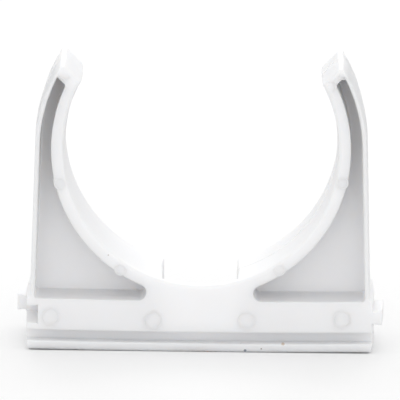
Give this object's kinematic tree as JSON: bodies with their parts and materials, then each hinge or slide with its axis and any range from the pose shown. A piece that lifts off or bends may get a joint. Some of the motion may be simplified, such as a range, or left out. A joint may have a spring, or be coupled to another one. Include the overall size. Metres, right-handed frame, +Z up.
{
  "type": "conduit clip",
  "caption": "Snap-in clip with a round open seat that holds a conduit off the wall, screwed down through its base, with dovetail joints on its ends for clips in a row.",
  "frame": {"origin": "middle of the underside, the flat face that lies on the wall or batten", "axes": "+X along the base to the side whose front half carries the tongue, +Y into the depth, along the pipe, with the pictured face towards -Y, +Z up from the underside to the mouth"},
  "size_m": [0.0674, 0.022, 0.0532],
  "materials": {
    "white_plastic": "satin, fine moulded texture"
  },
  "bodies": {
    "root": {"conduit_clip": "white_plastic"}
  },
  "joints": []
}
